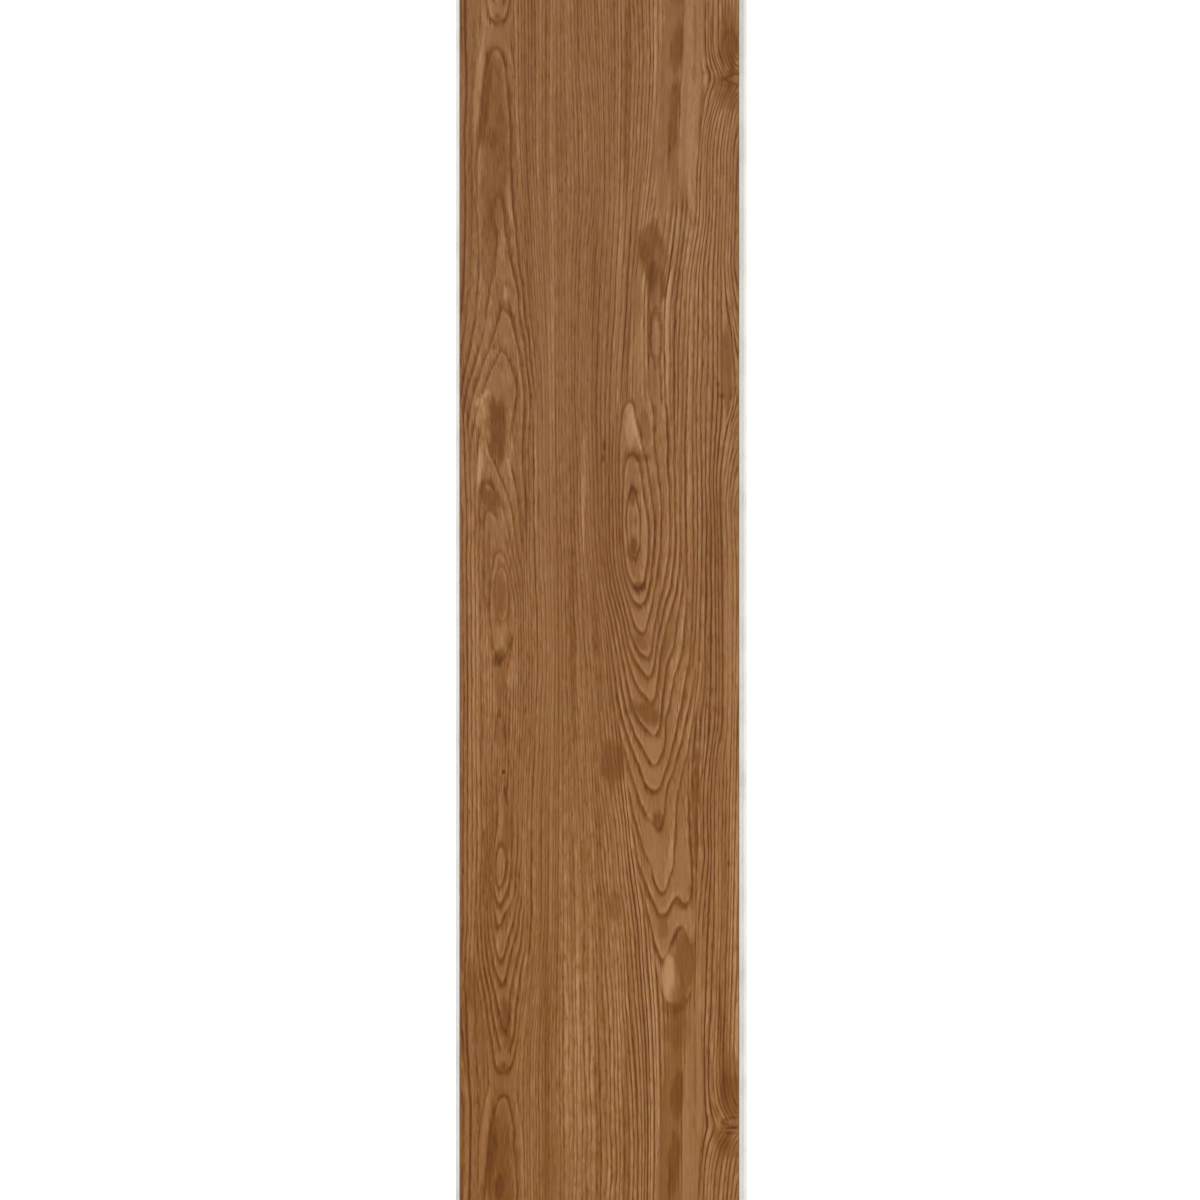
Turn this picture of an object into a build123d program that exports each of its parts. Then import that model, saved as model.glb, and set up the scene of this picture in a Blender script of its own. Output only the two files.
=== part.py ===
from build123d import *
import os

# One rigid core vinyl floor plank, lying face up. The board is pressed as one piece, and its four edges
# are milled for a glueless joint: a tongue and a groove that angle together along the long edges, and two
# hooks that drop together at the short ends.
# Sizes are in millimetres. +X is across the plank, +Y along it and +Z up out of the printed face.
# The origin is on the underside, below the middle of the face.

# Board
face_length = 1220.0        # laid length, from joint line to joint line
face_width = 180.0          # laid width, from joint line to joint line
thickness = 5.0             # underside to wear surface
face_bevel = 0.7            # leg of the bevel round the face
bottom_bevel = 0.25         # leg of the broken corners round the underside
play = 0.05                 # clearance between a milled edge and the edge it mates with

# Angling joint of the long edges
upper_lip = 1.75            # board above the groove
lower_lip = 1.3             # lower lip at its thinnest, in its hollow
groove_depth = 2.4          # into the board from the joint line
groove_round = 0.5          # radius of the groove's inner corners
tongue_flat = 1.2           # flat of the tongue's upper side, which the groove bears on
tip_drop = 0.4              # fall of the tongue's upper side from its flat to its tip
tip_round = 0.4             # radius of the tongue's tip
nose_round = 0.25           # radius at the groove's upper mouth and the tongue's upper root
lip_reach = 4.8             # lower lip past the joint line
lip_hollow = 0.45           # drop from the groove's floor to the lip's hollow
hollow_start = 1.2          # from the joint line to the hollow
hollow_length = 1.1         # flat of the hollow
lock_run = 0.45             # length of the sloping locking face, between hollow and bead
bead_rise = 0.6             # locking bead above the hollow
bead_round = 0.22           # radius of the bead and of the hollow's corners
lip_gap = 0.35              # room past the lip's end, under the mating board

# Drop joint of the short ends
ledge = 1.2                 # ledge that carries the lower hook
hook_reach = 5.2            # lower hook past the joint line
channel_width = 2.4         # between the joint line and the lower hook
hook_height = 1.9           # lower hook above its ledge
hook_lean = 0.2             # by which the hook leans over its channel
hook_round = 0.4            # radius of both hooks and of the corners that they seat in
nib_depth = 1.3             # from the face to the locking nib
nib_height = 0.7            # flat of the nib
nib_reach = 0.3             # nib past the joint line
hook_gap = 0.35             # room past the hook's end, under the mating board

groove_floor = lower_lip + lip_hollow
groove_top = thickness - upper_lip
hollow_end = hollow_start + hollow_length
bead_crest = lower_lip + bead_rise
hook_top = ledge + hook_height
nib_top = thickness - nib_depth
nib_foot = nib_top - nib_reach - nib_height
overrun = 5.0               # by which each blank runs past the other's outline before they are intersected


# An edge is a list of corners from the face down to the underside. A corner is (out, height, radius), where
# out is measured from the joint line towards +X or +Y, and height from the underside.

def lip_top(gap):
    """Upper side of the lower lip, from the joint line out to the bead, standing off by gap."""
    return [
        (0.0, groove_floor + gap, bead_round),
        (hollow_start, lower_lip + gap, bead_round),
        (hollow_end - gap, lower_lip + gap, bead_round),
        (hollow_end + lock_run - gap, bead_crest + gap, bead_round),
    ]


def groove_edge():
    """Long edge at +X: an undercut groove, with a lower lip that ends in a locking bead."""
    return [
        (-face_bevel, thickness, 0),
        (0.0, thickness - face_bevel, 0),
        (0.0, groove_top, nose_round),
        (-groove_depth, groove_top, groove_round),
        (-groove_depth, groove_floor, groove_round),
        *lip_top(0.0),
        (lip_reach, bead_crest, bead_round),
        (lip_reach, bottom_bevel, 0),
        (lip_reach - bottom_bevel, 0.0, 0),
    ]


def tongue_edge():
    """Long edge at -X: a tongue, and the recess in the underside that takes the mating lip and bead."""
    return [
        (face_bevel, thickness, 0),
        (0.0, thickness - face_bevel, 0),
        (0.0, groove_top - play, nose_round),
        (-tongue_flat, groove_top - play, tip_round),
        (play - groove_depth, groove_top - play - tip_drop, tip_round),
        (play - groove_depth, groove_floor + play, tip_round),
        *lip_top(play),
        (lip_reach + lip_gap, bead_crest + play, bead_round),
        (lip_reach + lip_gap, bottom_bevel, 0),
        (lip_reach + lip_gap + bottom_bevel, 0.0, 0),
    ]


def lower_hook_edge():
    """Short end at +Y: a ledge with a channel and an upright hook, and an undercut for the mating nib."""
    return [
        (-face_bevel, thickness, 0),
        (0.0, thickness - face_bevel, 0),
        (0.0, nib_top, 0),
        (-nib_reach, nib_top - nib_reach, 0),
        (-nib_reach, ledge, hook_round),
        (channel_width, ledge, hook_round),
        (channel_width - hook_lean, hook_top, hook_round),
        (hook_reach, hook_top, hook_round),
        (hook_reach, bottom_bevel, 0),
        (hook_reach - bottom_bevel, 0.0, 0),
    ]


def upper_hook_edge():
    """Short end at -Y: a hook that points down, with its nib, and the recess that takes the upright hook."""
    return [
        (face_bevel, thickness, 0),
        (0.0, thickness - face_bevel, 0),
        (0.0, nib_top - play, 0),
        (play - nib_reach, nib_top - nib_reach, 0),
        (play - nib_reach, nib_foot, 0),
        (play, nib_foot - nib_reach, 0),
        (play, ledge + play, hook_round),
        (channel_width - play, ledge + play, hook_round),
        (channel_width - hook_lean - play, hook_top + play, hook_round),
        (hook_reach + hook_gap, hook_top + play, hook_round),
        (hook_reach + hook_gap, bottom_bevel, 0),
        (hook_reach + hook_gap + bottom_bevel, 0.0, 0),
    ]


def section(size, far_edge, near_edge):
    """Cross-section of a board of that laid size, with one milled edge at each end."""
    corners = [(size / 2 + out, height, radius) for out, height, radius in far_edge]
    corners += [(out - size / 2, height, radius) for out, height, radius in reversed(near_edge)]
    points = [(out, height) for out, height, _ in corners]
    radii = [radius for _, _, radius in corners]
    return make_face(FilletPolyline(*points, radius=radii, close=True))


def milled_board():
    """The board after both passes of the mill: its section across, met by its section along.

    At the corner of groove and upper hook the second pass parts a sliver of the bead, which falls away.
    """
    half_length = face_length / 2 + hook_reach + overrun
    half_width = face_width / 2 + lip_reach + overrun
    across = Plane.XZ * section(face_width, groove_edge(), tongue_edge())
    along = Plane.YZ * section(face_length, lower_hook_edge(), upper_hook_edge())
    milled = extrude(across, half_length, both=True) & extrude(along, half_width, both=True)
    return max(milled.solids(), key=lambda solid: solid.volume)


plank = milled_board()
plank.label = "plank"
os.makedirs("parts", exist_ok=True)
export_step(plank, "parts/plank.step")
print("plank", plank.bounding_box().size, "volume", round(plank.volume), "faces", len(plank.faces()))
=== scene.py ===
"""Looks of one rigid core vinyl floor plank: an oak print on its embossed face, painted bevels round it,
a pale stone-plastic core on its milled edges, and a plain sanded underside.

The grain is laid out in millimetres from the plank's middle. Long lines run from end to end, with a figure of
nested rings on the left and another on the right. Their counts and strengths are kept in the mesh, and the
materials draw the lines and fibres from them."""

import math

import bmesh
import bpy
import numpy as np
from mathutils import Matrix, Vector


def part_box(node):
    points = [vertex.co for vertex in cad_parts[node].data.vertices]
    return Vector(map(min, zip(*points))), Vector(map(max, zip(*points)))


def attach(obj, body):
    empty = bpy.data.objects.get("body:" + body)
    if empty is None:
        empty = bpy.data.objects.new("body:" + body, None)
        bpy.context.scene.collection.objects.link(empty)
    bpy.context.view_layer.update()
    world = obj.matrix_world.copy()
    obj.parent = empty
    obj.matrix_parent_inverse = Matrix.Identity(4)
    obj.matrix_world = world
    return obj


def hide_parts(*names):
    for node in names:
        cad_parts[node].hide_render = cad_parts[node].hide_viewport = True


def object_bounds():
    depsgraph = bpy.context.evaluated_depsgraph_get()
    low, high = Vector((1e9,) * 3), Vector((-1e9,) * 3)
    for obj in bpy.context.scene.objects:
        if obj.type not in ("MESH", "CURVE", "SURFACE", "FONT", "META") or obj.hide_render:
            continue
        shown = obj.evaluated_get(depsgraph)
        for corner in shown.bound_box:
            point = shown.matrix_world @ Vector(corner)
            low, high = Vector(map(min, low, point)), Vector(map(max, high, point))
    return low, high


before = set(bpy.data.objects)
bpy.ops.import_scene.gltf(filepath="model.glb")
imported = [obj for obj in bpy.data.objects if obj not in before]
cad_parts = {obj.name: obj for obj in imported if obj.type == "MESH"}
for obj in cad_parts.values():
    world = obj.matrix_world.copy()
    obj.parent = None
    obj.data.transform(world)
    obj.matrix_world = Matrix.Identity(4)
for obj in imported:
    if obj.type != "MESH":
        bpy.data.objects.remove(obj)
cad_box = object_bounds()

mm = 0.001
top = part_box("plank")[1].z
seed = 7

# Cells of the printed face's mesh: strips across and along it, and the cells in each strip
strips_across, cells_across = 10, 19
strips_along, cells_along = 6, 79

# What lies above this height belongs to the printed face
face_level = top - 0.01 * mm

# The laid face from its middle to its edges, with a little to spare
laid_half_width, laid_half_length = 90.01 * mm, 610.01 * mm

# Depth of the embossed relief, at the rings and in wide soft waves, and the pitch of the cutter's lines
ring_relief, wave_relief = 0.012 * mm, 0.03 * mm
cutter_pitch = 0.35 * mm

# The print comes round again along the plank, and the left figure leans a little on the way
repeat = 674
first_row = -288
lean = 4 / repeat

# The print's inks from its darkest lines to its palest, as a screen shows them in 255ths
inks = [
    (100, 60, 26), (115, 72, 35), (129, 85, 47), (142, 98, 60), (154, 110, 71), (168, 124, 85),
    (185, 141, 102),
]

# What the clear layer's sheen adds to each ink, and the shade of the print where nothing is drawn
sheen = 0.0175
ground = 0.53

# Long grain: the count of each line from the left edge, and where it runs, as along: across
long_lines = {
    0: {610: -102, 386: -101, 300: -102, 150: -108, 60: -103, -130: -101, -610: -101},
    5: {610: -87, 386: -88, 350: -87, 325: -86.5, 300: -88, 250: -87.5, 200: -89, 150: -92, 115: -89,
        60: -87.5, 0: -87.5, -60: -87, -130: -87.5, -200: -87.5, -250: -88.5, -300: -86, -330: -84,
        -386: -85.5, -610: -88},
    8: {610: -80, 386: -81, 350: -81.5, 320: -82, 290: -83, 250: -83, 200: -83.5, 160: -87, 130: -84,
        95: -81, 50: -80, 0: -80, -60: -79.5, -130: -79, -190: -79.5, -240: -81, -290: -80, -330: -78.5,
        -386: -79.5, -610: -82},
    20: {610: -48, 500: -44, 430: -46, 386: -53.2, 340: -52.5, 300: -51.4, 270: -50, 240: -47.7, 215: -46.2,
        180: -43, 150: -40.2, 120: -39.2, 60: -38.7, 20: -37.8, -10: -36.2, -40: -35.5, -80: -37,
        -130: -39.5, -200: -39.8, -235: -42, -260: -45.2, -285: -48.3, -310: -49.3, -386: -48.2, -430: -46,
        -480: -42, -540: -39, -610: -38},
    30: {610: -31, 386: -30, 300: -30.3, 200: -29, 100: -28, 0: -27, -100: -27, -200: -28, -300: -29,
        -386: -29, -610: -29},
    39: {610: -15, 500: -12, 386: -9.5, 350: -8, 320: -6, 300: -4.6, 270: -4, 250: -5, 220: -8, 195: -9,
        130: -9.5, 100: -8.3, 50: -7, 20: -5, 0: -3.5, -20: -1.5, -40: 0, -60: 1.2, -85: 3.5, -105: 5.2,
        -130: 8, -143: 10, -165: 12, -185: 14.3, -200: 16.4, -215: 17.8, -235: 19, -255: 20.5, -275: 22,
        -290: 23, -320: 24.4, -350: 25, -386: 24.5, -430: 20.5, -490: 17.3, -545: 13.6, -610: 13},
    48: {610: 0, 560: 3, 500: 8, 440: 10, 386: 9.3, 350: 9.7, 310: 9.3, 280: 9.5, 250: 9.3, 220: 8,
        195: 6.5, 170: 5, 140: 3.8, 110: 3, 60: 3.7, 35: 5, 16: 6.8, 3: 9.2, -12: 12.9, -25: 15.8,
        -39: 18.7, -60: 22, -90: 26, -120: 28, -150: 31, -180: 35, -210: 38.5, -240: 41, -270: 43, -330: 44,
        -386: 43, -610: 30},
    54: {610: 9, 560: 12, 520: 17, 470: 22, 430: 24, 386: 24.5, 350: 25.5, 320: 25, 290: 23.7, 262: 21.7,
        243: 20.2, 212: 18.6, 185: 17.4, 170: 16, 150: 14.5, 130: 13.6, 85: 12.9, 41: 13.4, 17: 16, 2: 21,
        -30: 26, -90: 33, -150: 38, -250: 45, -386: 47, -610: 38},
    60: {610: 26, 540: 32, 470: 37, 420: 39.5, 386: 40, 350: 40.2, 325: 39.5, 300: 38, 275: 35.5, 250: 32,
        225: 28, 200: 25, 150: 25, 80: 25, 0: 29, -90: 37, -250: 48, -386: 49, -610: 45},
    65: {610: 38, 540: 45, 470: 50, 420: 52.5, 386: 53.5, 350: 53, 330: 51.6, 300: 51.2, 285: 50.4, 265: 50,
        245: 49.4, 225: 47.3, 205: 44.4, 190: 42.6, 165: 42, 130: 42.6, 85: 44.2, 50: 45.3, 19: 43.4,
        -3: 41, -40: 41, -90: 43, -180: 47, -250: 49.5, -386: 50.5, -610: 47},
    69: {610: 53, 540: 58, 470: 63, 420: 67, 386: 68.4, 350: 68.6, 343: 69.3, 337: 71.6, 333: 71, 328: 68.5,
        322: 66.8, 310: 65.5, 300: 65, 285: 63.6, 270: 62.2, 250: 61.7, 235: 60.3, 222: 58, 210: 56,
        190: 54.5, 165: 53.3, 130: 53, 100: 52.3, 60: 51.4, 35: 52, 15: 51.7, -12: 50.5, -50: 47, -90: 47,
        -130: 50, -180: 52, -250: 52.5, -300: 53, -386: 54, -610: 50},
    71: {610: 58, 540: 63, 470: 68, 420: 71, 386: 72, 360: 71.9, 352: 72.5, 345: 73.8, 341: 75.4, 336: 78,
        331: 76.5, 325: 74.8, 315: 72.2, 308: 69.7, 300: 68.4, 290: 67.8, 260: 67.1, 250: 67, 240: 66.2,
        228: 64.3, 218: 62.7, 208: 61.8, 190: 60.8, 160: 60, 100: 59.8, 60: 60.8, 40: 61, 0: 60.5,
        -20: 59.6, -30: 58.3, -40: 56.4, -65: 53, -90: 52, -130: 53, -180: 56, -215: 58, -250: 57,
        -300: 56.5, -386: 57, -610: 53},
    73: {610: 61, 540: 66, 470: 71, 420: 73.5, 386: 74.5, 360: 74.3, 352: 75, 347: 76.3, 342: 78.6, 337: 82,
        331: 81, 324: 78.5, 318: 76, 310: 73.5, 300: 71.3, 290: 70.6, 260: 70.4, 248: 70.4, 235: 69,
        222: 67, 210: 66, 170: 66, 150: 65.5, 130: 64.7, 110: 64.2, 80: 65, 40: 66.2, 10: 65.9, -10: 65,
        -30: 64.3, -45: 63.7, -58: 62.4, -70: 60.2, -80: 58.3, -90: 57, -110: 56, -130: 56, -165: 58.6,
        -185: 58.6, -215: 60.5, -260: 59.5, -300: 59.8, -386: 60, -610: 56},
    74: {610: 64, 540: 69, 470: 73.5, 420: 76, 386: 76.5, 355: 76.7, 350: 77.5, 345: 79.5, 341: 82,
        336: 85.5, 331: 84, 324: 80.8, 318: 78.3, 308: 75.5, 298: 74, 285: 73, 260: 72.6, 235: 72,
        215: 70.8, 190: 70.5, 170: 70.9, 150: 70.5, 130: 69.7, 105: 69.6, 80: 69.2, 60: 69.5, 40: 70,
        0: 69.4, -30: 68.8, -50: 67.8, -65: 66.8, -80: 65.6, -92: 64.6, -110: 63, -130: 61.7, -165: 62,
        -185: 61.5, -215: 61.7, -240: 61.5, -300: 62, -350: 62.2, -386: 61.7, -610: 57.5},
    75: {610: 67, 540: 72, 470: 76.5, 420: 78.6, 386: 79, 355: 79, 350: 79.8, 345: 81.7, 341: 85, 336: 88,
        331: 86.5, 324: 83, 318: 80.8, 305: 78, 298: 77, 285: 75.6, 265: 75, 230: 74.8, 215: 73.8, 190: 74,
        160: 74.5, 140: 74.8, 120: 74, 100: 72.8, 80: 72, 60: 72.2, 40: 72.6, 0: 72.9, -40: 72.6, -80: 72.2,
        -92: 71.3, -105: 69, -120: 67.8, -135: 67.2, -150: 67.8, -158: 68.8, -164: 69.4, -172: 67.6,
        -180: 66, -195: 65, -210: 63.8, -225: 63.4, -250: 63.6, -300: 64.3, -340: 64.6, -360: 63.6,
        -386: 62.5, -610: 59},
    76: {610: 69, 540: 74, 470: 78.4, 420: 80.6, 386: 81, 355: 81, 345: 84, 336: 91, 328: 87, 318: 82.6,
        305: 80, 290: 78.2, 260: 77.3, 240: 77, 215: 76, 190: 76, 160: 76.4, 135: 76.5, 118: 76, 100: 74.5,
        80: 73.6, 60: 74, 40: 74.5, 0: 75.1, -60: 75.4, -80: 74.8, -100: 71.6, -110: 70.7, -130: 69.7,
        -150: 70.4, -165: 70.7, -175: 69.7, -190: 67.8, -205: 66.6, -220: 66, -250: 65.6, -300: 65.6,
        -335: 66.6, -350: 65, -386: 63.1, -610: 60},
    77: {610: 71, 540: 76, 470: 80.4, 420: 82.7, 386: 83.2, 355: 83, 345: 86.5, 336: 94, 328: 89.5,
        318: 84.5, 305: 82, 290: 80.2, 260: 79.5, 240: 79, 215: 78.2, 190: 79, 150: 79, 135: 78.6,
        118: 78.4, 100: 77, 80: 75.6, 60: 75.8, 40: 76.7, 0: 77.3, -80: 76.8, -100: 73.4, -120: 72,
        -140: 71.6, -160: 72.3, -175: 72.5, -190: 71.6, -200: 70.8, -220: 70.2, -250: 69.7, -265: 69,
        -275: 67.6, -290: 67, -310: 67.3, -325: 67.6, -333: 68.6, -337: 70.5, -341: 69.5, -345: 67,
        -352: 65.7, -365: 64.7, -380: 63.8, -400: 62.5, -450: 58, -500: 56, -610: 61},
    78: {610: 74, 540: 79, 470: 83, 420: 85.4, 386: 85.8, 355: 85, 345: 89, 336: 97, 328: 92, 318: 86.5,
        305: 84, 290: 82, 240: 81, 215: 80.5, 190: 83, 175: 85.5, 155: 87.5, 135: 88, 124: 86.5, 110: 82,
        95: 79.6, 80: 78, 60: 78, 0: 79.2, -80: 78.9, -100: 75.8, -120: 74.5, -140: 74.2, -180: 74.3,
        -210: 74.5, -240: 73.5, -265: 73, -280: 72, -300: 71.3, -315: 71.3, -322: 72, -328: 73, -333: 74.5,
        -336: 77, -341: 76, -346: 73.5, -352: 71, -362: 69, -374: 68, -386: 67.5, -400: 66.5, -450: 62,
        -500: 61, -610: 64},
    80: {610: 79, 470: 87, 386: 89, 355: 88, 345: 93, 336: 102, 328: 97, 318: 90, 290: 86.3, 240: 85.3,
        215: 84.5, 190: 87.5, 175: 90, 135: 94, 118: 91, 100: 86, 80: 82.6, 60: 81.2, 40: 82, 0: 82.4,
        -80: 82.6, -100: 79.8, -140: 78.6, -180: 79, -210: 78.6, -240: 77.5, -260: 77.6, -280: 76.5,
        -300: 75.6, -315: 76, -325: 77.5, -331: 80, -336: 84, -341: 82, -347: 77, -355: 74.5, -365: 72.5,
        -386: 71.5, -450: 67, -500: 66, -610: 68},
    82: {610: 83, 470: 91, 386: 93, 355: 92, 336: 106, 318: 95, 290: 90.5, 215: 88.5, 190: 92, 135: 99,
        100: 91, 80: 87, 60: 84.6, 0: 86, -100: 84, -180: 83, -230: 81, -260: 80.6, -290: 79.5, -310: 79.5,
        -322: 81, -330: 84, -336: 89, -342: 86, -350: 81, -360: 78.5, -374: 77, -386: 76.4, -500: 72,
        -610: 73},
    84: {610: 88, 386: 97, 336: 110, 290: 95, 215: 93, 135: 104, 100: 96, 60: 88.5, 0: 90, -100: 88,
        -230: 85.6, -290: 84, -310: 84, -322: 86, -336: 95, -345: 90, -355: 85, -374: 82.5, -386: 82,
        -500: 79, -610: 79},
    88: {610: 97, 386: 104, 336: 118, 290: 102, 135: 112, 60: 97, -230: 95, -290: 93, -336: 104, -386: 92,
        -610: 90},
}

# Figure on the right: each ring's count outward from its heart, and the places (across, along) it passes
right_figure = [
    (0, [(21.8, 50)]),
    (1, [(21, 71), (18.3, 60), (17.9, 45), (19.2, 32), (22.5, 27), (25.6, 34), (26.2, 47), (24.4, 61)]),
    (2, [(20.5, 94), (17.3, 88), (15.9, 76), (15.3, 60), (15.4, 45), (16, 32), (17.6, 20), (20.5, 12),
        (24.6, 8.2), (28, 10), (30.2, 20), (31.3, 33), (31.4, 45), (30.2, 57), (28.3, 67), (27, 78),
        (25, 89)]),
    (3, [(19.4, 127), (15.4, 120), (13.6, 107), (12.9, 85), (12.9, 63), (13.4, 41), (14.8, 25), (17, 13),
        (20.8, 2), (24, -1.6), (27.5, -3), (30, 1), (33, 17), (34.8, 34), (35, 49), (33.8, 62), (31.4, 75),
        (30, 87), (26.8, 100), (23.2, 114)]),
    (4, [(12, 122), (10.9, 97), (10.9, 72), (11.3, 50), (12.2, 27), (14.8, 12), (18.7, -2), (22.5, -15),
        (25.5, -19.4), (28.2, -21), (30.6, -15), (34.2, 1), (37.2, 22), (39.6, 48), (39.4, 66), (37, 84),
        (35.3, 103), (34.6, 122)]),
    (5, [(10, 124), (9, 100), (9, 68), (9.2, 45), (10.8, 17), (16.2, -4.5), (20.8, -23), (25.8, -33),
        (29.2, -36), (31.8, -38), (34, -29), (36.5, -12), (40.8, 5.5), (44, 25), (45.4, 48), (44.8, 72),
        (43.6, 100), (43.3, 122)]),
    (6, [(7, 100), (6.7, 60), (7.6, 25), (11.7, 3), (17, -19), (21.7, -36), (27, -45), (31.6, -50.5),
        (33.8, -46), (36.4, -27), (41.7, -3), (46.7, 19), (48.3, 52), (47.6, 95), (48.6, 120)]),
    (7, [(4.4, 90), (4.3, 52), (6.7, 17), (12.9, -12), (18.7, -39), (25, -55.5), (29, -61), (34.6, -67.6),
        (36.4, -60), (38.4, -40), (42.5, -18), (48, 0), (51.3, 20), (51.5, 60), (51, 95), (52.6, 122)]),
    (8, [(2, 60), (5, 9), (12.5, -23), (18, -53), (22.5, -72), (28.3, -80), (32, -85), (36.5, -86.5),
        (39.6, -79), (41.7, -54), (47.5, -30), (52, 1), (54, 22)]),
    (9, [(1.7, 19), (8.3, -17.5), (14.2, -52), (19.6, -76.5), (25.8, -91), (31, -101), (36, -106.4),
        (39.4, -101), (42.3, -77), (48.3, -50), (54.2, -21), (56, 0)]),
    (10, [(4.2, -8), (10.4, -49), (15, -75.5), (20.8, -94.5), (27.5, -112), (31.5, -120), (35, -122.6),
        (39.4, -119), (44, -106), (49.2, -85), (53.3, -65), (58.3, -36)]),
    (11, [(5.8, -38), (10.4, -73), (18, -102), (25, -125), (30.5, -137), (35.5, -143), (38.8, -147),
        (40.8, -140), (43.4, -118), (49, -103), (55, -78), (60, -53)]),
    (12, [(17.6, -118), (22.5, -140), (27.4, -158), (33, -169), (36.4, -182), (40.3, -188), (43.4, -184),
        (46, -174), (48.2, -153), (50, -130), (55, -104)]),
    (13, [(18.5, -136), (24, -165), (29.5, -180), (33.4, -191), (37.2, -200), (41, -203.5), (44.6, -199),
        (47, -193.6), (50.5, -191), (54, -195), (57.3, -193.6), (59.2, -185), (58.8, -164), (57, -140)]),
    (14, [(20.4, -156), (26.5, -184), (31.8, -203), (35.6, -222), (39.6, -231), (43.5, -227), (47, -217),
        (50.5, -212), (53.3, -209.5), (56.5, -216), (60, -221), (62.4, -208), (64.3, -194)]),
    (15, [(24, -189), (31, -220), (36, -236), (40.5, -252), (44.6, -260), (50, -260), (55, -257),
        (59.6, -251)]),
]

# Figure on the left
left_figure = [
    (0.5, [(-63.4, -171)]),
    (1, [(-63, -159), (-66, -166), (-66.7, -174), (-64.6, -184.5), (-62, -180), (-60.4, -170)]),
    (1.5, [(-61, -128), (-61.5, -145), (-62, -105)]),
    (1.2, [(-63, -70), (-63, -55)]),
    (2, [(-64.6, -197.5), (-67, -189), (-68.2, -175), (-67.4, -158), (-65, -140), (-60, -188),
        (-57.8, -178), (-57, -160), (-57, -135), (-57.4, -80)]),
    (3, [(-64.4, -209), (-62, -201.5), (-58.7, -197), (-55.8, -192), (-53.8, -183), (-53, -165),
        (-53, -135), (-67, -201), (-69.2, -186), (-69.4, -165)]),
    (4, [(-63.4, -233), (-60.5, -225), (-58.5, -216), (-55.4, -209), (-53.2, -196), (-52, -176),
        (-66, -226), (-68.6, -211), (-70.4, -190), (-70.6, -165)]),
    (5, [(-62.4, -247), (-60, -239), (-57.8, -228), (-54.4, -216), (-51.8, -200), (-65.7, -240),
        (-69, -226), (-71.6, -204), (-72.1, -175), (-71.6, -150)]),
    (6, [(-60.4, -276), (-59, -263), (-56.8, -247), (-53.7, -232), (-50.4, -216), (-63.6, -267),
        (-67.6, -250), (-71.4, -231), (-73.6, -204), (-73.6, -170)]),
    (7, [(-60.4, -291.5), (-57, -287), (-54.6, -270), (-51.8, -248), (-47.8, -224), (-64.4, -285),
        (-68.5, -267), (-73.2, -239), (-75.6, -205), (-75.4, -170)]),
    (8, [(-61.5, -304), (-57, -300), (-54.2, -289), (-51.4, -267), (-48, -240), (-45, -215), (-66, -301),
        (-68.7, -284), (-73.2, -253), (-77.5, -226), (-79, -190)]),
    (8.6, [(-62, -313), (-58, -316), (-67, -314)]),
    (8, [(-66.6, 356.5), (-70, 350), (-73, 339), (-75.3, 318), (-77.4, 295), (-78.2, 263), (-77.6, 225),
        (-78.5, 190), (-82.8, 160), (-88, 134), (-63.2, 354), (-60.6, 341), (-58.6, 322), (-57.3, 296),
        (-57.6, 276), (-55.3, 247), (-52, 216), (-48.8, 185), (-45.3, 160), (-42.8, 138)]),
    (7, [(-61, 248), (-63.4, 228), (-67, 213), (-70.4, 200), (-73.7, 174), (-79.5, 151), (-85, 134),
        (-59, 234), (-56.4, 215), (-52, 194), (-47.8, 163), (-45, 134)]),
    (6, [(-61.2, 192), (-65, 178), (-69.5, 163), (-75.3, 149), (-81.5, 130), (-58.4, 185), (-55, 171.6),
        (-51.8, 158), (-49.8, 143), (-48.6, 125)]),
    (5, [(-62.8, 161), (-67.8, 151.6), (-72.4, 140.5), (-77, 126), (-80, 112), (-58.6, 152.5), (-55.3, 145),
        (-53.4, 132), (-55.5, 118), (-57.8, 103), (-58.4, 91), (-54.5, 74.5), (-51.6, 54), (-49.8, 35)]),
    (4, [(-75.8, 112), (-78, 100), (-78.8, 80), (-79, 50), (-72.6, 102.5), (-69.9, 92), (-65.3, 81),
        (-60, 69), (-55.3, 52), (-51.4, 25)]),
    (3, [(-72.4, 76), (-75.6, 69), (-76.8, 55), (-77, 30), (-68, 71), (-62.8, 61), (-58.7, 43), (-54.8, 24),
        (-51.2, 4)]),
    (2, [(-70.6, 57.5), (-73.8, 50), (-74, 30), (-74, 5), (-66, 52), (-61.4, 39), (-57.8, 25), (-54, 8),
        (-51, -15)]),
    (1, [(-64, 30), (-67.5, 23), (-69.4, 8), (-69.6, -15), (-60, 26), (-57, 15), (-54.6, -2), (-64.5, -38),
        (-67, -34), (-61, -33), (-55.5, -20)]),
    (0, [(-62.8, 22), (-66, 17), (-67, 3), (-59.8, 16), (-58.6, 2), (-64, -13)]),
    (-0.6, [(-62.5, 4)]),
]

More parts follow.
